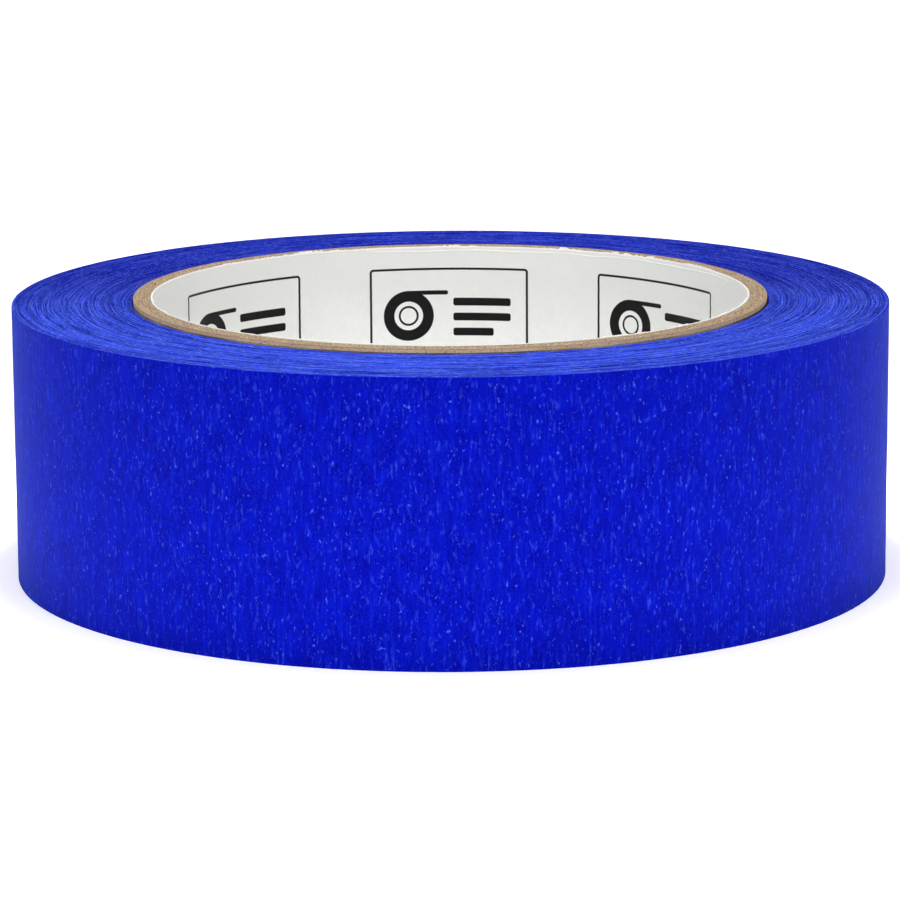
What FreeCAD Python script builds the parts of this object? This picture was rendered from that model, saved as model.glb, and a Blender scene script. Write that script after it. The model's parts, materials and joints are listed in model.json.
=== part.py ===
"""A roll of blue masking tape on a spiral-wound paperboard core, in millimetres, +Z up.

The origin is on the roll's axis, at the level of the face that the roll stands on. The front is -Y.
The core is a stack of paper plies, each a strip wound on a slant, so each has a slanting butt seam.
The tape is one strip of crepe paper with adhesive on its inner side. Its turns are one solid up to the last
turn, which is made as its two layers. The last stretch is the free end, cut into short segments that
are hinged in a chain, so that it can be peeled back.
"""
import FreeCAD, Part
import math
import os

# Driving dimensions
TAPE_WIDTH = 35.5
BACKING = 0.100
ADHESIVE = 0.031
CORE_BORE_RADIUS = 38.5
LINER = 0.15
BOARD_PLY = 0.385
BOARD_PLIES = 5
KRAFT = 0.15
GLUE_LINE = 0.03               # the glue between two plies, left as a gap
CORE_PROUD = 0.55              # how far the core stands above the tape's upper edge
ROLL_RADIUS = 56.6             # at the cut end of the tape, the thickest place
CUT_END_ANGLE = 135.0          # where the tape's cut end lies, in degrees from +X
SEGMENTS = 6                   # hinged segments of the free end
SEGMENT_ANGLE = 8.0            # the arc that each segment covers
PEEL_GAP = 0.01                # clearance under the last turn, so that its free end can swing off
SEAM_GAP = 0.3                 # the butt gap between the edges of one ply
STRIP_WIDTH = 120.0            # the width of the strips that the core is wound from
LINER_SEAM_ANGLE = 270.0       # where the liner's seam is at half the core's height
SEAM_STEP = 70.0               # how far each ply's seam is turned from the last one

# Worked out from them
TAPE = BACKING + ADHESIVE
CORE_HEIGHT = TAPE_WIDTH + CORE_PROUD
CORE_WALL = LINER + (BOARD_PLY + GLUE_LINE) * BOARD_PLIES + GLUE_LINE + KRAFT
CORE_RADIUS = CORE_BORE_RADIUS + CORE_WALL
QUARTER_STEP = TAPE / 4
PACK_RADIUS = ROLL_RADIUS - 2 * TAPE
FREE_END_ANGLE = SEGMENTS * SEGMENT_ANGLE
UP = FreeCAD.Vector(0, 0, 1)


def radial(degrees):
    """The unit vector at an angle from +X."""
    a = math.radians(degrees)
    return FreeCAD.Vector(math.cos(a), math.sin(a), 0)


def quarter_centres():
    """Centres of the four arcs of one turn, a small square, so that the arcs run into each other smoothly."""
    centres = [FreeCAD.Vector(0, 0, 0)]
    for quarter in range(1, 4):
        centres.append(centres[-1] - radial(CUT_END_ANGLE + 90 * quarter) * QUARTER_STEP)
    middle = sum(centres[1:], centres[0]) * 0.25
    return [c - middle for c in centres]


CENTRES = quarter_centres()


def spiral_point(quarter, offset, degrees):
    """A point of the winding in one quarter, offset outwards from the surface of the inner turns."""
    return CENTRES[quarter] + radial(degrees) * (PACK_RADIUS + quarter * QUARTER_STEP + offset)


def spiral_edges(offset, start, end):
    """Arcs along the winding from start to end, in degrees past the cut end, offset outwards."""
    edges = []
    for quarter in range(4):
        a = max(start, 90.0 * quarter)
        b = min(end, 90.0 * (quarter + 1))
        if b - a > 1e-6:
            points = [spiral_point(quarter, offset, CUT_END_ANGLE + x) for x in (a, (a + b) / 2, b)]
            edges.append(Part.Arc(*points).toShape())
    return edges


def winding_band(inner, outer, start, end):
    """A stretch of the winding between two offsets, as tall as the tape."""
    inside = spiral_edges(inner, start, end)
    outside = spiral_edges(outer, start, end)
    first = Part.makeLine(ends_of(inside)[0], ends_of(outside)[0])
    last = Part.makeLine(ends_of(inside)[1], ends_of(outside)[1])
    outline = Part.Wire(Part.__sortEdges__(inside + [last] + outside + [first]))
    return Part.Face(outline).extrude(UP * TAPE_WIDTH)


def ends_of(edges):
    """The first and last point of a run of arcs."""
    return edges[0].valueAt(edges[0].FirstParameter), edges[-1].valueAt(edges[-1].LastParameter)


def inner_turns():
    """Every turn but the last, from the core to the slight step where the last turn starts."""
    arcs = spiral_edges(0, 0, 360)
    start, end = ends_of(arcs)
    outline = Part.Wire(Part.__sortEdges__(arcs + [Part.makeLine(end, start)]))
    disc = Part.Face(outline).extrude(UP * TAPE_WIDTH)
    return disc.cut(Part.makeCylinder(CORE_RADIUS + GLUE_LINE, TAPE_WIDTH))


def last_turn(inner, outer):
    """The last turn of the tape, up to the root of the free end."""
    return winding_band(inner, outer, 0, 360 - FREE_END_ANGLE)


def free_end_segment(number, inner, outer):
    """One segment of the free end; number 0 is at its root and the last one is at the cut end."""
    start = 360 - FREE_END_ANGLE + number * SEGMENT_ANGLE
    return winding_band(inner, outer, start, start + SEGMENT_ANGLE)


def seam_cutter(radius, thickness, degrees):
    """A thin slanting blade through a ply's wall, which turns as it rises, as the edge of its strip does."""
    circumference = 2 * math.pi * radius
    slope = math.asin(STRIP_WIDTH / circumference)
    lead = circumference * math.tan(slope)
    margin = 1.0
    height = CORE_HEIGHT + 2 * margin
    turn = 360 * height / lead
    helix = Part.makeHelix(lead, height, radius)
    across = SEAM_GAP / math.sin(slope) / 2
    reach = thickness / 2 + GLUE_LINE
    corners = [(-reach, -across), (reach, -across), (reach, across), (-reach, across)]
    points = [FreeCAD.Vector(radius + x, y, 0) for x, y in corners]
    section = Part.makePolygon(points + points[:1])
    blade = Part.Wire(helix.Edges).makePipeShell([section], True, True)
    blade.rotate(FreeCAD.Vector(0, 0, 0), UP, degrees - turn / 2)
    blade.translate(UP * -margin)
    return blade


def core_ply(inner_radius, thickness, seam_angle):
    """One ply of the core: a thin tube with the slanting butt seam of its strip."""
    tube = Part.makeCylinder(inner_radius + thickness, CORE_HEIGHT)
    tube = tube.cut(Part.makeCylinder(inner_radius, CORE_HEIGHT))
    return tube.cut(seam_cutter(inner_radius + thickness / 2, thickness, seam_angle))


def core_plies():
    """The core's plies from the inside out, by node name."""
    layers = [("core_printed_liner", LINER)]
    layers += [(f"core_board_ply_{n + 1}", BOARD_PLY) for n in range(BOARD_PLIES)]
    layers += [("core_kraft_cover", KRAFT)]
    plies, radius = {}, CORE_BORE_RADIUS
    for n, (name, thickness) in enumerate(layers):
        plies[name] = core_ply(radius, thickness, LINER_SEAM_ANGLE + n * SEAM_STEP)
        radius += thickness + GLUE_LINE
    return plies


def tape():
    """The tape, by node name."""
    nodes = {
        "tape_inner_turns": inner_turns(),
        "tape_last_turn_adhesive": last_turn(PEEL_GAP, ADHESIVE),
        "tape_last_turn_backing": last_turn(ADHESIVE, TAPE),
    }
    for n in range(SEGMENTS):
        nodes[f"free_end_adhesive_{n + 1}"] = free_end_segment(n, PEEL_GAP, ADHESIVE)
        nodes[f"free_end_backing_{n + 1}"] = free_end_segment(n, ADHESIVE, TAPE)
    return nodes


def report_hinges():
    """Prints where the free end's hinges are: on the tape's outer face, where two segments meet."""
    for n in range(SEGMENTS):
        degrees = CUT_END_ANGLE - FREE_END_ANGLE + n * SEGMENT_ANGLE
        point = spiral_point(3, TAPE, degrees)
        print(f"hinge {n + 1}: {point.x:.4f} {point.y:.4f} mm")


def main():
    os.makedirs("parts", exist_ok=True)
    report_hinges()
    for name, shape in {**core_plies(), **tape()}.items():
        shape.exportStep(f"parts/{name}.step")
        print(name, "valid", shape.isValid(), "solids", len(shape.Solids), "volume", round(shape.Volume, 2))


main()
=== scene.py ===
"""A roll of blue masking tape: its looks, built around the CAD frame. Lengths are in metres.

The tape and the core's plies are strips, so each mesh here is a strip too. A place on the tape is given by
its angle before the cut end: 0 at the cut end, 360 one turn further in, and so on down to the core.
"""
import json
import math

import bmesh
import bpy
import numpy as np
from mathutils import Matrix, Vector


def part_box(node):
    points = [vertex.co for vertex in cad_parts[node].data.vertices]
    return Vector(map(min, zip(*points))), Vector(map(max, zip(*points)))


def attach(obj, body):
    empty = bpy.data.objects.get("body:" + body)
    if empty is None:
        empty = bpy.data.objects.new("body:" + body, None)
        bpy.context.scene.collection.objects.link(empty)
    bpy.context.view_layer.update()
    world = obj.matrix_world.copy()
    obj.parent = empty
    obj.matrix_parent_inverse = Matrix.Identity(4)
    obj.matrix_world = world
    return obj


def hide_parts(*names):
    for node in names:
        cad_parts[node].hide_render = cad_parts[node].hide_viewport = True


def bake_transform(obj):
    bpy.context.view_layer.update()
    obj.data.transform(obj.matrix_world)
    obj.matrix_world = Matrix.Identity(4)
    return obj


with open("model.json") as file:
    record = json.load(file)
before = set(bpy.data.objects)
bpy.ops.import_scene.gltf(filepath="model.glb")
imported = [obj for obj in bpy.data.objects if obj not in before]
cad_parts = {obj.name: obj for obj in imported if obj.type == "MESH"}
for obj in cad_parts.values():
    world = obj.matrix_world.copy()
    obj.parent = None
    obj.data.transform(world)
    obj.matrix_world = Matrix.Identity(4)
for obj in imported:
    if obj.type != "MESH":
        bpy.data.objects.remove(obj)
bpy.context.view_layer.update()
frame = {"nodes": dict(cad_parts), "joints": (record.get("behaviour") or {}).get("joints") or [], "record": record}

MM = 0.001

# The roll, as the CAD has it
BORE_RADIUS = next(m["dims"]["r_mm"] for m in frame["record"]["mounts"] if m["name"] == "core_bore") * MM
CORE_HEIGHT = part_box("core_printed_liner")[1][2]
TAPE_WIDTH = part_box("tape_inner_turns")[1][2]
BACKING = 0.100 * MM
ADHESIVE = 0.021 * MM
TAPE = 0.131 * MM                  # backing, adhesive and the clearance under it
ROLL_RADIUS = 56.6 * MM            # at the cut end
CUT_END_ANGLE = 135.0              # in degrees from +X
LINER = 0.15 * MM
BOARD_PLY = 0.385 * MM
KRAFT = 0.15 * MM
GLUE_LINE = 0.03 * MM
STRIP_WIDTH = 120 * MM             # the strips that the core is wound from
SEAM_GAP = 0.3 * MM
LINER_SEAM_ANGLE = 270.0           # at half the core's height
SEAM_STEP = 70.0                   # from one ply's seam to the next
PRINT_CENTRE_ANGLE = 450.23        # about the back, counted on from the liner's seam

BOARD_PLIES = sum(1 for n in frame["nodes"] if n.startswith("core_board_ply_"))
HINGES = [j for j in frame["joints"] if j["name"].startswith("peel_")]
SEGMENT_ANGLE = 8.0
FREE_END_ANGLE = SEGMENT_ANGLE * len(HINGES)
CORE_WALL = LINER + (BOARD_PLY + GLUE_LINE) * BOARD_PLIES + GLUE_LINE + KRAFT
WINDING_START = BORE_RADIUS + CORE_WALL + GLUE_LINE
PACK_RADIUS = ROLL_RADIUS - 2 * TAPE
PACK_TURNS = round((PACK_RADIUS - WINDING_START) / TAPE)
PITCH = (PACK_RADIUS - WINDING_START) / PACK_TURNS

# The saw-toothed cut at the tape's end
TOOTH_PITCH = 1.3 * MM
TOOTH_DEPTH = 0.45 * MM
TOOTH_REACH = 3 * MM               # how far in from the cut the columns of the mesh follow the teeth

# How fine the meshes are
FACE_COLUMNS = 256                 # around one turn of the wound face
CREPE_COLUMN = 0.25 * MM
CREPE_ROWS = 24
TOOTHED_ROWS = 110
PLY_COLUMNS = 480
LINER_COLUMNS = 1440
PLY_ROWS = 20
# The rows of points near the core's upper edge, by how far below it they are
RIM_ROWS = np.array([0.90, 0.70, 0.62, 0.55, 0.48, 0.40, 0.25, 0.12]) * MM


# ---------------------------------------------------------------- noise

def lattice_noise(u, v, seed):
    """Smooth noise from -1 to 1, with one random value at each whole u and v."""
    size = 512
    table = np.random.RandomState(seed).uniform(-1, 1, (size, size))
    iu, iv = np.floor(u).astype(int), np.floor(v).astype(int)
    fu, fv = u - iu, v - iv
    fu, fv = fu * fu * (3 - 2 * fu), fv * fv * (3 - 2 * fv)
    a, b = table[iu % size, iv % size], table[(iu + 1) % size, iv % size]
    c, d = table[iu % size, (iv + 1) % size], table[(iu + 1) % size, (iv + 1) % size]
    return (a * (1 - fu) + b * fu) * (1 - fv) + (c * (1 - fu) + d * fu) * fv


def smooth_step(low, high, value):
    """0 before low, 1 past high and smooth in between. It falls with the value where low is above high."""
    t = np.clip((value - low) / (high - low), 0, 1)
    return t * t * (3 - 2 * t)


WRINKLE = 0.014 * MM               # how far the crepe paper's wrinkles stand out or in


def crepe(along, height):
    """The relief of the crepe paper's wrinkles. They run across the tape, so they are upright."""
    coarse = lattice_noise(along / (0.9 * MM), height / (6 * MM), 11)
    fine = lattice_noise(along / (0.5 * MM), height / (2.5 * MM), 12)
    return WRINKLE * (0.6 * coarse + 0.4 * fine)


# ---------------------------------------------------------------- meshes

def make_object(name, points, faces, attributes=(), sharp=35.0):
    """A mesh object from arrays, shaded smooth but for its sharp edges, with named vectors on its points."""
    mesh = bpy.data.meshes.new(name)
    mesh.from_pydata(points.tolist(), [], [f if isinstance(f, list) else f.tolist() for f in faces])
    for label, values in attributes:
        mesh.attributes.new(label, "FLOAT_VECTOR", "POINT").data.foreach_set(
            "vector", np.ascontiguousarray(values, np.float32).ravel())
    work = bmesh.new()
    work.from_mesh(mesh)
    bmesh.ops.recalc_face_normals(work, faces=work.faces)
    work.to_mesh(mesh)
    work.free()
    mesh.polygons.foreach_set("use_smooth", np.ones(len(mesh.polygons), bool))
    mesh.set_sharp_from_angle(angle=math.radians(sharp))
    mesh.update()
    obj = bpy.data.objects.new(name, mesh)
    bpy.context.scene.collection.objects.link(obj)
    return obj


def loop_strip_faces(columns, around):
    """Quads of a strip whose section is a closed loop of points, with a cap at each end."""
    i, j = np.meshgrid(np.arange(columns - 1), np.arange(around), indexing="ij")
    a = i * around + j
    b = i * around + (j + 1) % around
    quads = np.stack([a, b, b + around, a + around], -1).reshape(-1, 4)
    last = (columns - 1) * around
    caps = [list(range(around)), list(range(last, last + around))[::-1]]
    return list(quads) + caps


def polar(angle, radius, height):
    """Points from angles in degrees, radii and heights."""
    a = np.radians(angle)
    return np.stack([radius * np.cos(a), radius * np.sin(a), height + 0 * a], -1)


# ---------------------------------------------------------------- the tape

def outer_face_radius(before):
    """The radius of the tape's outer face at an angle before its cut end."""
    return ROLL_RADIUS - TAPE * before / 360


SLIT_ROUGHNESS = 0.006 * MM        # of the tape's two slit edges


def tape_strip(name, start, end, outer_depth, inner_depth, toothed=False):
    """A stretch of one of the tape's layers, between two angles before the cut end and two depths."""
    rows = TOOTHED_ROWS if toothed else CREPE_ROWS
    columns = max(4, int(math.radians(start - end) * ROLL_RADIUS / CREPE_COLUMN))
    before = np.linspace(start, end, columns)[:, None]
    level = np.linspace(0, 1, rows + 1)
    level = np.concatenate([level, level[::-1]])[None, :]
    outside = np.repeat([0.0, 1.0], rows + 1)[None, :]
    along = np.radians(before) * ROLL_RADIUS + 0 * level
    height = level * TAPE_WIDTH + 0 * before
    edge = lattice_noise(along / (0.7 * MM), np.round(level) * 7 + 0 * along, 21)
    at_edge = (level == 0) | (level == 1)
    height = height + np.where(at_edge, SLIT_ROUGHNESS * (edge - 1) * np.sign(level - 0.5), 0)
    if toothed:
        saw = np.abs((height / TOOTH_PITCH) % 1 - 0.5) * 2
        near = np.clip(1 - np.radians(before) * ROLL_RADIUS / TOOTH_REACH, 0, 1)
        before = before + np.degrees(TOOTH_DEPTH / ROLL_RADIUS) * saw * near
    depth = np.where(outside > 0.5, outer_depth, inner_depth)
    radius = outer_face_radius(before) - depth + crepe(along, height)
    points = polar(CUT_END_ANGLE - before, radius, height).reshape(-1, 3)
    faces = loop_strip_faces(columns, 2 * (rows + 1))
    return make_object(name, points, faces, [("rest", points)])


def turn_depth(place, turns_in):
    """How far a turn's edge is sunk below the tape's width, by its place along the winding, in turns."""
    around = 2 * np.pi * place
    slow = lattice_noise(place * 4.3, 0 * place, 31)
    sunk = smooth_step(0.3, 0.6, lattice_noise(place * 6.3, 3 + 0 * place, 32))
    ripple = lattice_noise(place * 90, 5 + 0 * place, 33)
    group = lattice_noise(turns_in / 7 + 2 * np.sin(around), 2 * np.cos(around), 34)
    own = lattice_noise(turns_in / 0.9 + 2.5 * np.sin(around), turns_in / 9 + 2.5 * np.cos(around), 36)
    by_core = np.exp(-turns_in / 1.2) * (0.6 + 0.4 * lattice_noise(place * 9, 7 + 0 * place, 35))
    grooves = 0.05 * sunk + 0.05 * smooth_step(0.1, 0.7, own)
    return MM * (0.025 + 0.015 * slow + grooves + 0.006 * ripple + 0.015 * group + 0.35 * by_core)


# The section of one turn's edge: how far across the turn, how deep in mm, how much painted shade and how much
# painted highlight
EDGE_PROFILE = (
    (0.0, 0.045, 1.0, 0.0),
    (0.13, 0.030, 0.9, 0.0),
    (0.24, 0.003, 0.1, 0.0),
    (0.40, 0.0, 0.0, 0.3),
    (0.93, 0.026, 0.0, 1.0),
)


def wound_band(name, first, last):
    """A run of whole turns, as one closed mesh whose two faces show the edge of every turn."""
    n, m = FACE_COLUMNS, len(EDGE_PROFILE)
    a, b = first * n, last * n
    t = np.arange(a, b + 1)
    place = t / n
    inner = WINDING_START + PITCH * place
    angle = CUT_END_ANGLE + 360.0 * (t % n) / n
    points, shades = [], []
    for side, shift in ((1, 0), (-1, 1000)):         # shifted, so that the two faces aren't the same
        below = turn_depth(place + shift, place)
        for across, drop, dark, slope_highlight in EDGE_PROFILE:
            depth = below + drop * MM
            height = TAPE_WIDTH - depth if side > 0 else depth
            points.append(polar(angle, inner + across * PITCH, height))
            shades.append(np.stack([dark + 0 * place, slope_highlight + 0 * place, below / MM], -1))

    def at(i, c):
        return (i - a) * 2 * m + c

    def quads(i, c, j, d):
        """Quads between point c of column i and point d of column j, and the same of the next columns."""
        return np.stack([at(i, c), at(i + 1, c), at(j + 1, d), at(j, d)], -1)

    i = np.arange(a, b)
    faces = []
    for base in (0, m):
        faces += [quads(i, base + c, i, base + c + 1) for c in range(m - 1)]
        faces.append(quads(i[:-n], base + m - 1, i[:-n] + n, base))
    faces.append(quads(i[:n], 0, i[:n], m))
    faces.append(quads(i[-n:], m - 1, i[-n:], 2 * m - 1))
    upper, lower = list(range(m)), list(range(2 * m - 1, m - 1, -1))
    inner_step = [at(a, c) for c in upper] + [at(a + n, 0), at(a + n, m)] + [at(a, c) for c in lower]
    outer_step = [at(b, c) for c in upper + lower] + [at(b - n, 2 * m - 1), at(b - n, m - 1)]
    faces = [f for part in faces for f in part] + [inner_step, outer_step]
    flat = np.stack(points, 1).reshape(-1, 3)
    shade = np.stack(shades, 1).reshape(-1, 3)
    return make_object(name, flat, faces, [("rest", flat), ("shade", shade)])


# ---------------------------------------------------------------- the core

def ply_strip(name, inner, thickness, seam_angle, shape, columns=PLY_COLUMNS):
    """One ply of the core: a strip wound on a slant into a tube, which ends where it began, at its seam."""
    circumference = 2 * math.pi * (inner + thickness / 2)
    slope = math.asin(STRIP_WIDTH / circumference)
    lead = circumference * math.tan(slope)
    gap_angle = 360 * SEAM_GAP / math.sin(slope) / circumference
    level = np.concatenate([np.linspace(0, 0.96, PLY_ROWS), 1 - RIM_ROWS / CORE_HEIGHT])
    across = np.array([0.0, 0.35, 0.7, 1.0])
    wall = [(0.0, h) for h in level] + [(c, 1.0) for c in across]
    wall += [(1.0, h) for h in level[::-1]] + [(c, 0.0) for c in across[2:0:-1]]
    c, h = np.array(wall).T
    turn = np.linspace(gap_angle / 2, 360 - gap_angle / 2, columns)[:, None]
    angle = seam_angle + turn + 360 * (h * CORE_HEIGHT - CORE_HEIGHT / 2)[None, :] / lead
    height = h[None, :] * CORE_HEIGHT + 0 * turn
    radius = inner + c[None, :] * thickness + 0 * turn
    radius, height, torn_edge_highlight = shape(angle, radius, height, c[None, :] + 0 * turn, h[None, :] + 0 * turn)
    points = polar(angle, radius, height).reshape(-1, 3)
    unrolled = np.radians(angle - PRINT_CENTRE_ANGLE) * BORE_RADIUS
    printed = np.stack([unrolled, height, torn_edge_highlight], -1).reshape(-1, 3)
    faces = loop_strip_faces(columns, len(wall))
    return make_object(name, points, faces, [("rest", points), ("wall", printed)], sharp=40)


def rough_end(seed, amount):
    """The sawn and slightly fibrous ends of a ply of board."""
    def shape(angle, radius, height, across, level):
        along = np.radians(angle % 360) * BORE_RADIUS
        at_end = (level == 0) | (level == 1)
        noise = lattice_noise(along / (0.8 * MM), across * 5 + level * 40, seed)
        noise += lattice_noise(along / (3 * MM), across * 3 + level * 40, seed + 1)
        crown = 1 - (2 * across - 1) ** 2
        drop = amount * (0.5 + 0.3 * noise + 0.7 * (1 - crown))
        return radius, height - np.where(at_end, drop * np.sign(level - 0.5), 0), 0 * height
    return shape


LAYER_BELOW = 0.55                 # how far the torn layer lies below the core's upper edge, in mm


def torn_lip(angle, radius, height, across, level):
    """The liner's cut edge: a ragged burr that leans into the bore, and a torn layer just below it."""
    around = angle % 360
    along = np.radians(around) * BORE_RADIUS
    zero = 0 * along
    teeth = lattice_noise(along / (0.4 * MM), zero + 2, 51) + lattice_noise(along / (1.3 * MM), zero + 3, 54)
    patches = smooth_step(-0.7, 0.5, lattice_noise(along / (5 * MM), zero + 4, 52))
    ragged = patches * smooth_step(-0.9, 0.9, teeth)
    far_side = smooth_step(10, 45, around) * smooth_step(175, 140, around)
    below = (1 - level) * CORE_HEIGHT / MM
    rim = smooth_step(0.25, 0.0, below)
    lean = 0.02 + 0.10 * ragged
    rise = 0.02 + (0.08 + 0.24 * far_side) * ragged
    radius = radius - rim * MM * lean * (1 - 0.7 * across)
    height = height + np.where(level == 1, MM * rise * (1 - 0.3 * across), 0)
    layer = np.exp(-((below - LAYER_BELOW) / 0.05) ** 2) * (across == 0)
    layer = layer * smooth_step(8, 20, around) * smooth_step(120, 95, around)
    near_layer = np.exp(-((below - LAYER_BELOW) / 0.2) ** 2)
    height = height + near_layer * 0.12 * MM * lattice_noise(along / (4 * MM), zero + 6, 55)
    radius = radius - layer * 0.06 * MM
    # the third value marks where the liner gets a painted highlight: its burr and the step of the torn layer
    return radius, height, np.maximum(rim, layer)


# ---------------------------------------------------------------- material nodes

class Nodes:
    """Short ways to write a material's nodes."""

    def __init__(self, name):
        self.material = bpy.data.materials.new(name)
        self.material.use_nodes = True
        self.tree = self.material.node_tree
        self.shader = self.tree.nodes["Principled BSDF"]

    def socket(self, into, value):
        """Links a socket, or sets it to a number or a tuple."""
        if isinstance(value, bpy.types.NodeSocket):
            self.tree.links.new(value, into)
        else:
            into.default_value = value

    def math(self, operation, a, b=0.0, c=0.0):
        node = self.tree.nodes.new("ShaderNodeMath")
        node.operation = operation
        for into, value in zip(node.inputs, (a, b, c)):
            self.socket(into, value)
        return node.outputs[0]

    def length(self, x, y):
        """How far the point x, y is from the origin."""
        return self.math("SQRT", self.math("ADD", self.math("MULTIPLY", x, x), self.math("MULTIPLY", y, y)))

    def attribute(self, name):
        node = self.tree.nodes.new("ShaderNodeAttribute")
        node.attribute_name = name
        return node.outputs["Vector"]

    def parts(self, vector):
        node = self.tree.nodes.new("ShaderNodeSeparateXYZ")
        self.socket(node.inputs[0], vector)
        return node.outputs

    def vector(self, x, y, z):
        node = self.tree.nodes.new("ShaderNodeCombineXYZ")
        for into, value in zip(node.inputs, (x, y, z)):
            self.socket(into, value)
        return node.outputs[0]

    def stretched(self, vector, scale):
        """A vector in metres, scaled by one number per millimetre along each axis."""
        node = self.tree.nodes.new("ShaderNodeVectorMath")
        node.operation = "MULTIPLY"
        self.socket(node.inputs[0], vector)
        node.inputs[1].default_value = [s / MM for s in scale]
        return node.outputs[0]

    def noise(self, vector, detail=2.0, rough=0.5, distortion=0.0):
        node = self.tree.nodes.new("ShaderNodeTexNoise")
        self.socket(node.inputs["Vector"], vector)
        node.inputs["Scale"].default_value = 1.0
        node.inputs["Detail"].default_value = detail
        node.inputs["Roughness"].default_value = rough
        node.inputs["Distortion"].default_value = distortion
        return node.outputs[0]

    def ramp(self, value, low, high, to_low=0.0, to_high=1.0):
        """value from low to high becomes to_low to to_high, held at both ends."""
        node = self.tree.nodes.new("ShaderNodeMapRange")
        for into, number in zip(node.inputs, (value, low, high, to_low, to_high)):
            self.socket(into, number)
        return node.outputs[0]

    def mix(self, amount, a, b):
        node = self.tree.nodes.new("ShaderNodeMix")
        node.data_type = "RGBA"
        self.socket(node.inputs[0], amount)
        self.socket(node.inputs[6], a)
        self.socket(node.inputs[7], b)
        return node.outputs[2]

    def bump(self, height, distance, strength=1.0):
        node = self.tree.nodes.new("ShaderNodeBump")
        self.socket(node.inputs["Height"], height)
        node.inputs["Distance"].default_value = distance
        node.inputs["Strength"].default_value = strength
        self.socket(self.shader.inputs["Normal"], node.outputs[0])

    def finish(self, colour, roughness, specular):
        self.socket(self.shader.inputs["Base Color"], colour)
        self.socket(self.shader.inputs["Roughness"], roughness)
        self.shader.inputs["Specular IOR Level"].default_value = specular
        return self.material


def rgb(red, green, blue):
    """A colour from sRGB values of 0 to 255."""
    linear = [((v / 255 + 0.055) / 1.055) ** 2.4 if v > 10 else v / 255 / 12.92 for v in (red, green, blue)]
    return (*linear, 1.0)


def crepe_material():
    """Blue crepe paper: upright wrinkles, short pale fibres and a fine grain."""
    n = Nodes("blue_crepe_paper")
    rest = n.attribute("rest")
    grain = n.noise(n.stretched(rest, (4.4, 4.4, 3.8)), 3.0, 0.7)
    mottle = n.noise(n.stretched(rest, (0.5, 0.5, 0.28)), 2.0)
    streak = n.noise(n.stretched(rest, (2.4, 2.4, 0.42)), 3.0, 0.55)
    fibre = n.noise(n.stretched(rest, (2.4, 2.4, 0.8)), 2.0, 0.5, 0.3)
    fleck = n.noise(n.stretched(rest, (2.8, 2.8, 1.7)), 1.0)
    colour = n.mix(n.ramp(grain, 0.38, 0.62), rgb(0, 0, 128), rgb(3, 14, 178))
    colour = n.mix(n.ramp(mottle, 0.35, 0.7, 0.0, 0.45), colour, rgb(2, 18, 196))
    colour = n.mix(n.ramp(streak, 0.5, 0.7, 0.0, 0.25), colour, rgb(18, 46, 224))
    colour = n.mix(n.ramp(fibre, 0.59, 0.78, 0.0, 0.45), colour, rgb(56, 82, 228))
    colour = n.mix(n.ramp(fleck, 0.67, 0.82, 0.0, 0.6), colour, rgb(86, 112, 240))
    height = n.math("ADD", n.math("MULTIPLY", streak, 0.7), n.math("MULTIPLY", grain, 0.3))
    n.bump(height, 0.06 * MM, 0.8)
    n.shader.inputs["Sheen Weight"].default_value = 0.06
    n.shader.inputs["Sheen Tint"].default_value = (0.4, 0.8, 1, 1)
    return n.finish(colour, n.ramp(grain, 0.3, 0.7, 0.62, 0.8), 0.02)


RING_SPACING = 0.44 * MM           # of the fine rings that groups of turns make on the wound face
RING_DRIFT = 22.0                  # how far the rings wander, in radians of their spacing


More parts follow.
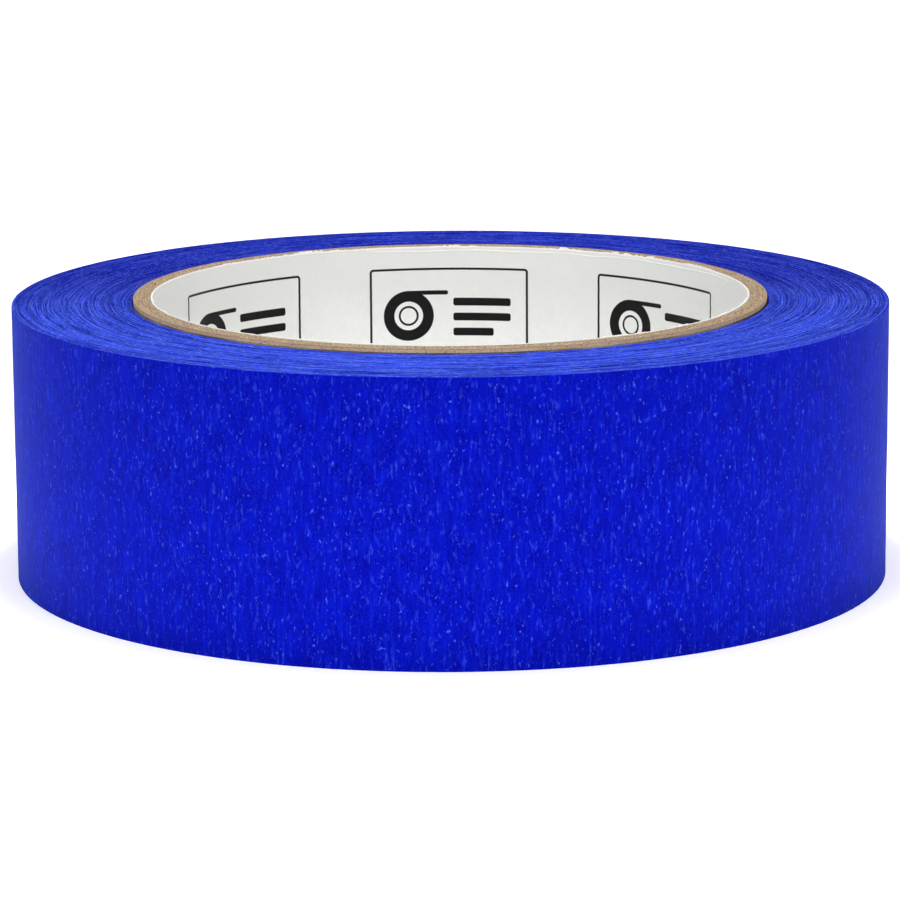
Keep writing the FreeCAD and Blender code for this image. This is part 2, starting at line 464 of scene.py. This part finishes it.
def wound_edge_material():
    """The cut edges of the wound tape: lighter than its face, with painted shade and painted highlight in fine
    broken rings.
    """
    n = Nodes("wound_tape_edges")
    rest = n.attribute("rest")
    x, y, _ = n.parts(rest)
    radius = n.length(x, y)
    swirl = n.vector(x, y, radius)
    broad = n.noise(n.stretched(swirl, (0.10, 0.10, 1.3)), 3.0, 0.6)
    rings = n.noise(n.stretched(swirl, (0.10, 0.10, 4.6)), 2.0, 0.6)
    drift = n.noise(n.stretched(swirl, (0.06, 0.06, 0.9)), 2.0)
    phase = n.math("DIVIDE", radius, RING_SPACING / (2 * math.pi))
    lines = n.math("SINE", n.math("MULTIPLY_ADD", drift, RING_DRIFT, phase))
    dashes = n.noise(n.stretched(swirl, (1.3, 1.3, 4.0)), 3.0, 0.65)
    specks = n.noise(n.stretched(rest, (5.5, 5.5, 5.5)), 1.0)
    dark, slope_highlight, below = n.parts(n.attribute("shade"))
    colour = n.mix(n.ramp(broad, 0.35, 0.65), rgb(12, 32, 206), rgb(24, 50, 226))
    # painted highlight on the outward slope of each turn
    colour = n.mix(n.math("MULTIPLY", slope_highlight, 0.9), colour, rgb(62, 98, 255))
    # fine rings and dashes of painted shade and painted highlight, for the shading of turns at slightly different
    # heights
    colour = n.mix(n.ramp(lines, -0.95, -0.1, 0.7, 0.0), colour, rgb(2, 6, 122))
    colour = n.mix(n.ramp(lines, 0.5, 0.95, 0.0, 0.4), colour, rgb(104, 132, 255))
    colour = n.mix(n.ramp(rings, 0.38, 0.46, 0.45, 0.0), colour, rgb(2, 8, 128))
    colour = n.mix(n.ramp(rings, 0.54, 0.62, 0.0, 0.4), colour, rgb(104, 132, 255))
    colour = n.mix(n.ramp(dashes, 0.37, 0.45, 0.5, 0.0), colour, rgb(4, 14, 168))
    colour = n.mix(n.ramp(dashes, 0.55, 0.66, 0.0, 0.6), colour, rgb(116, 144, 255))
    colour = n.mix(n.ramp(specks, 0.76, 0.82, 0.0, 0.6), colour, rgb(160, 185, 255))
    # painted shade in the gaps between turns
    colour = n.mix(n.math("MULTIPLY", dark, 0.85), colour, rgb(2, 8, 100))
    # painted shade on turns that sit lower, darkest on the deeply sunk turns next to the core
    colour = n.mix(n.ramp(below, 0.045, 0.09, 0.0, 0.5), colour, rgb(3, 8, 108))
    colour = n.mix(n.ramp(below, 0.15, 0.3, 0.0, 0.8), colour, rgb(2, 4, 60))
    n.bump(dashes, 0.03 * MM, 0.6)
    return n.finish(colour, 0.8, 0.08)


def adhesive_material():
    """The tacky side of the tape: the paper's blue seen through a thin milky coat."""
    n = Nodes("adhesive_coat")
    rest = n.attribute("rest")
    streak = n.noise(n.stretched(rest, (2.4, 2.4, 0.42)), 3.0, 0.55)
    cloud = n.noise(n.stretched(rest, (0.5, 0.5, 0.3)), 3.0, 0.6)
    colour = n.mix(n.ramp(streak, 0.35, 0.65), rgb(28, 54, 188), rgb(58, 88, 214))
    colour = n.mix(n.ramp(cloud, 0.4, 0.7, 0.0, 0.5), colour, rgb(84, 112, 226))
    n.bump(streak, 0.05 * MM, 0.7)
    return n.finish(colour, n.ramp(cloud, 0.3, 0.7, 0.32, 0.5), 0.25)


def board_material(name, dark, light, tape_line_shade=0.0):
    """Recycled board: a tan felt of fibres with darker and paler specks, and, where asked, a line of painted shade
    where the tape meets it.
    """
    n = Nodes(name)
    rest = n.attribute("rest")
    x, y, z = n.parts(rest)
    radius = n.length(x, y)
    layers = n.noise(n.stretched(n.vector(x, y, radius), (0.25, 0.25, 5.0)), 3.0, 0.6)
    fibres = n.noise(n.stretched(rest, (3.0, 3.0, 6.0)), 4.0, 0.65)
    specks = n.noise(n.stretched(rest, (2.2, 2.2, 2.2)), 2.0, 0.6)
    colour = n.mix(n.ramp(layers, 0.35, 0.65), dark, light)
    colour = n.mix(n.ramp(fibres, 0.5, 0.6, 0.0, 0.7), colour, rgb(232, 208, 176))
    colour = n.mix(n.ramp(fibres, 0.34, 0.46, 0.75, 0.0), colour, rgb(124, 96, 68))
    colour = n.mix(n.ramp(specks, 0.66, 0.74, 0.0, 0.6), colour, rgb(96, 74, 56))
    if tape_line_shade:
        # painted shade: a patchy dark line along the wall where the tape's edge meets it
        patchy = n.ramp(n.noise(n.stretched(rest, (0.09, 0.09, 0.1))), 0.4, 0.6, 0.3 * tape_line_shade, tape_line_shade)
        line = n.ramp(z, TAPE_WIDTH + 0.02 * MM, TAPE_WIDTH + 0.09 * MM, 1.0, 0.0)
        colour = n.mix(n.math("MULTIPLY", line, patchy), colour, rgb(10, 12, 40))
        rim = n.ramp(z, CORE_HEIGHT - 0.18 * MM, CORE_HEIGHT - 0.06 * MM, 0.0, 0.8)
        colour = n.mix(rim, colour, rgb(166, 142, 114))
    n.bump(n.math("ADD", fibres, layers), 0.06 * MM, 0.9)
    return n.finish(colour, 0.88, 0.15)


# The frames printed on the liner, in millimetres
PANEL_PITCH = 32.5
PANEL_WIDTH = 21.8
PANEL_HEIGHT = 13.0
PANEL_TOP = 3.1                    # below the core's upper edge
PANEL_CORNER = 0.35
ROW_PITCH = 19.0
PRINT_LINE = 0.32
BAR_CORNER = 0.3
INK_BLUR = 0.03                    # half the width of the ink's soft edge


def box_distance(n, x, y, half_width, half_height, corner):
    """The distance from a rounded box, negative inside it."""
    qx = n.math("SUBTRACT", n.math("ABSOLUTE", x), half_width - corner)
    qy = n.math("SUBTRACT", n.math("ABSOLUTE", y), half_height - corner)
    ax, ay = n.math("MAXIMUM", qx, 0.0), n.math("MAXIMUM", qy, 0.0)
    outside = n.length(ax, ay)
    inside = n.math("MINIMUM", n.math("MAXIMUM", qx, qy), 0.0)
    return n.math("SUBTRACT", n.math("ADD", outside, inside), corner)


def circle_distance(n, x, y, radius):
    """The distance from a circle, negative inside it."""
    return n.math("SUBTRACT", n.length(x, y), radius)


def printed_pattern(n):
    """The ink on the liner, 0 to 1: rows of frames that hold a picture of a roll and three bars."""
    along, height, _ = n.parts(n.stretched(n.attribute("wall"), (-1, 1, 1)))
    x = n.math("WRAP", along, PANEL_PITCH / 2, -PANEL_PITCH / 2)
    first_row = CORE_HEIGHT / MM - PANEL_TOP - PANEL_HEIGHT / 2
    y = n.math("WRAP", n.math("SUBTRACT", height, first_row), ROW_PITCH / 2, -ROW_PITCH / 2)

    def line(distance, width):
        return n.math("SUBTRACT", n.math("ABSOLUTE", distance), width / 2)

    def bar(cx, cy, half_width, half_height):
        from_x, from_y = n.math("SUBTRACT", x, cx), n.math("SUBTRACT", y, cy)
        return box_distance(n, from_x, from_y, half_width, half_height, BAR_CORNER)

    roll_x = n.math("SUBTRACT", x, -5.6)
    shapes = [
        line(box_distance(n, x, y, PANEL_WIDTH / 2, PANEL_HEIGHT / 2, PANEL_CORNER), PRINT_LINE),
        line(circle_distance(n, roll_x, y, 2.75), 1.5),
        line(circle_distance(n, roll_x, y, 1.25), 0.3),
        bar(-2.9, 3.2, 2.8, 0.3),
        bar(4.6, 1.9, 4.0, 0.55),
        bar(4.6, -0.2, 4.0, 0.55),
        bar(3.4, -2.3, 2.8, 0.55),
    ]
    nearest = shapes[0]
    for other in shapes[1:]:
        nearest = n.math("MINIMUM", nearest, other)
    return n.ramp(nearest, -INK_BLUR, INK_BLUR, 1.0, 0.0)


def liner_material():
    """White liner paper with black print, painted shade that greys it towards its two ends, and a painted
    highlight on its torn lip.
    """
    n = Nodes("printed_liner_paper")
    rest = n.attribute("rest")
    fibres = n.noise(n.stretched(rest, (1.6, 1.6, 1.6)), 4.0, 0.6)
    cloud = n.noise(n.stretched(rest, (0.12, 0.12, 0.12)), 2.0)
    from_middle = n.math("ABSOLUTE", n.math("SUBTRACT", n.parts(rest)[2], CORE_HEIGHT / 2))
    paper = n.mix(n.ramp(fibres, 0.3, 0.7), rgb(245, 245, 242), rgb(253, 253, 251))
    paper = n.mix(n.ramp(cloud, 0.35, 0.65, 0.0, 0.3), paper, rgb(232, 233, 232))
    # painted shade: greyer towards both ends of the core
    paper = n.mix(n.ramp(from_middle, 4 * MM, 13 * MM, 0.0, 0.6), paper, rgb(225, 226, 223))
    ink = printed_pattern(n)
    colour = n.mix(ink, paper, rgb(8, 8, 10))
    torn_edge_highlight = n.parts(n.attribute("wall"))[2]
    # painted highlight along the torn lip and the torn layer's step
    colour = n.mix(n.ramp(torn_edge_highlight, 0.2, 0.7), colour, rgb(255, 255, 253))
    n.bump(fibres, 0.02 * MM, 0.5)
    return n.finish(colour, n.ramp(ink, 0.0, 1.0, 0.55, 0.4), 0.2)


def floor_material():
    """The white top of a light table, which glows most in a ring around the roll."""
    n = Nodes("studio_floor")
    rest = n.attribute("rest")
    x, y, _ = n.parts(rest)
    radius = n.length(x, y)
    n.socket(n.shader.inputs["Emission Color"], (1, 1, 1, 1))
    outside = n.ramp(radius, 0.15, 0.45, GLOW_NEAR, GLOW_FAR)
    ring = n.math("MULTIPLY", n.ramp(radius, 0.060, 0.070), n.ramp(radius, 0.100, 0.085))
    in_bore = n.math("LESS_THAN", radius, BORE_RADIUS + CORE_WALL)
    glow = n.math("MULTIPLY_ADD", ring, GLOW_RING, outside)
    glow = n.math("MULTIPLY_ADD", in_bore, GLOW_IN_BORE - GLOW_NEAR, glow)
    n.socket(n.shader.inputs["Emission Strength"], glow)
    return n.finish(n.mix(n.noise(rest), rgb(244, 244, 244), rgb(248, 248, 248)), 0.9, 0.1)


# ---------------------------------------------------------------- the pieces

def place(obj, body, material, slot, *nodes):
    """Gives a piece its material and its body, if any, and hides the CAD nodes that it stands for. Its slot is not
    used.
    """
    obj.data.materials.append(material)
    if body is not None:
        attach(obj, body)
    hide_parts(*nodes)
    return obj


def edge_faces(obj, material):
    """The faces that look up or down get the material of the tape's cut edges."""
    obj.data.materials.append(material)
    normals = np.zeros(len(obj.data.polygons) * 3, np.float32)
    obj.data.polygons.foreach_get("normal", normals)
    index = (np.abs(normals.reshape(-1, 3)[:, 2]) > 0.7).astype(np.int32)
    obj.data.polygons.foreach_set("material_index", index)


def build_core():
    """The seven plies of the core, from the liner outwards."""
    liner = liner_material()
    board = board_material("tan_board", rgb(142, 122, 98), rgb(176, 154, 126))
    kraft = board_material("kraft_paper", rgb(228, 196, 150), rgb(246, 218, 172), tape_line_shade=0.8)
    radius = BORE_RADIUS
    obj = ply_strip("printed_liner", radius, LINER, LINER_SEAM_ANGLE, torn_lip, LINER_COLUMNS)
    place(obj, "roll", liner, "printed_liner", "core_printed_liner")
    radius += LINER + GLUE_LINE
    for i in range(BOARD_PLIES):
        seam = LINER_SEAM_ANGLE + (i + 1) * SEAM_STEP
        obj = ply_strip(f"board_ply_{i + 1}", radius, BOARD_PLY, seam, rough_end(60 + 2 * i, 0.05 * MM))
        place(obj, "roll", board, "grey_board", f"core_board_ply_{i + 1}")
        radius += BOARD_PLY + GLUE_LINE
    seam = LINER_SEAM_ANGLE + (BOARD_PLIES + 1) * SEAM_STEP
    obj = ply_strip("kraft_cover", radius, KRAFT, seam, rough_end(80, 0.04 * MM))
    place(obj, "roll", kraft, "kraft_cover", "core_kraft_cover")


def build_tape():
    """The wound turns in three bands, the turn under the last one, the last turn and its free end.

    Each piece of the free end is centred on its hinge. The first one only runs on past its hinge, because the
    tape before it stays on the roll.
    """
    crepe_paper = crepe_material()
    edges = wound_edge_material()
    tacky = adhesive_material()
    bands = ("inner", "middle", "outer")
    marks = np.linspace(0, PACK_TURNS - 1, len(bands) + 1).astype(int)
    for name, first, last in zip(bands, marks, marks[1:]):
        place(wound_band(f"wound_turns_{name}", first, last), "roll", edges, "wound_tape", "tape_inner_turns")
    under = tape_strip("turn_below_the_last", 720, 360, TAPE * 0.1, TAPE)
    place(under, "roll", crepe_paper, "wound_tape", "tape_inner_turns")
    edge_faces(under, edges)
    layers = (("backing", 0.0, BACKING, crepe_paper, "crepe_backing"),
              ("adhesive", BACKING, BACKING + ADHESIVE, tacky, "adhesive"))
    for layer, outer, inner, material, slot in layers:
        obj = tape_strip(f"last_turn_{layer}", 360, FREE_END_ANGLE, outer, inner)
        place(obj, "roll", material, slot, f"tape_last_turn_{layer}")
        edge_faces(obj, edges)
        for i, hinge in enumerate(HINGES):
            hinge_angle = FREE_END_ANGLE - i * SEGMENT_ANGLE
            at_root, at_tip = i == 0, i == len(HINGES) - 1
            start = hinge_angle + (0 if at_root else SEGMENT_ANGLE / 2)
            end = 0 if at_tip else hinge_angle - SEGMENT_ANGLE / 2
            obj = tape_strip(f"free_end_{layer}_part_{i + 1}", start, end, outer, inner, toothed=at_tip)
            place(obj, None, material, slot, f"free_end_{layer}_{i + 1}")
            edge_faces(obj, edges)
            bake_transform(obj)


# ---------------------------------------------------------------- the studio

FLOOR_HALF = 4.0
GLOW_IN_BORE = 0.22                # of the floor that shows through the core
GLOW_RING = 1.2                    # added in a ring just outside the roll
GLOW_NEAR = 0.4
GLOW_FAR = 0.8
SKY = 0.25                         # the room overhead
HORIZON = 1.0                      # the room's white walls
HORIZON_END = 0.08                 # how steeply up the walls start to turn grey
SKY_START = 0.22                   # and where they have turned into the room overhead


def build_stage():
    """The glowing floor, and a room that is white at the horizon and greyer overhead."""
    corners = ((-1, -1, 0), (1, -1, 0), (1, 1, 0), (-1, 1, 0))
    points = np.array(corners, float) * FLOOR_HALF
    floor = make_object("floor", points, [[0, 1, 2, 3]], [("rest", points)])
    floor.data.materials.append(floor_material())
    world = bpy.data.worlds.new("studio")
    bpy.context.scene.world = world
    world.use_nodes = True
    nodes, links = world.node_tree.nodes, world.node_tree.links
    background = nodes["Background"]
    direction = nodes.new("ShaderNodeTexCoord")
    upwards = nodes.new("ShaderNodeSeparateXYZ")
    strength = nodes.new("ShaderNodeMapRange")
    for socket, value in zip(strength.inputs[1:5], (HORIZON_END, SKY_START, HORIZON, SKY)):
        socket.default_value = value
    links.new(direction.outputs["Generated"], upwards.inputs[0])
    links.new(upwards.outputs[2], strength.inputs[0])
    links.new(strength.outputs[0], background.inputs[1])
    background.inputs[0].default_value = (1, 1, 1, 1)


def area_light(name, position, target, size, power):
    """A round soft light that faces a point."""
    data = bpy.data.lights.new(name, "AREA")
    data.shape = "DISK"
    data.size = size
    data.energy = power
    obj = bpy.data.objects.new(name, data)
    bpy.context.scene.collection.objects.link(obj)
    obj.location = position
    obj.rotation_euler = (target - position).to_track_quat("-Z", "Y").to_euler()


def build_lights():
    """A soft light over the roll, and one to each side in front of it."""
    middle = Vector((0, 0, TAPE_WIDTH / 2))
    area_light("softbox_above", Vector((0, -0.02, 0.46)), middle, size=0.3, power=1.5)
    for name, side in (("left", -1), ("right", 1)):
        area_light(f"softbox_{name}", Vector((side * 0.31, -0.55, 0.30)), middle, size=0.2, power=0.75)


LENS = 175.61                      # millimetres of focal length, on a sensor 36 mm wide
CAMERA_PLACE = (-0.00013, -0.5604, 0.13006)
CAMERA_TILT = 11.575               # below the horizon, in degrees
CAMERA_ROLL = -0.348


def build_camera():
    """The photograph's view: a long lens, a little above the roll and tipped slightly sideways."""
    data = bpy.data.cameras.new("camera")
    data.lens = LENS
    data.sensor_width = 36.0
    data.clip_start = 0.01
    data.clip_end = 20
    camera = bpy.data.objects.new("camera", data)
    bpy.context.scene.collection.objects.link(camera)
    camera.location = CAMERA_PLACE
    tilt = Matrix.Rotation(math.radians(90 - CAMERA_TILT), 4, "X")
    roll = Matrix.Rotation(math.radians(CAMERA_ROLL), 4, "Z")
    camera.rotation_euler = (tilt @ roll).to_euler()
    bpy.context.scene.camera = camera
    bpy.context.scene.view_settings.view_transform = "Standard"


build_core()
build_tape()
build_stage()
build_lights()
build_camera()
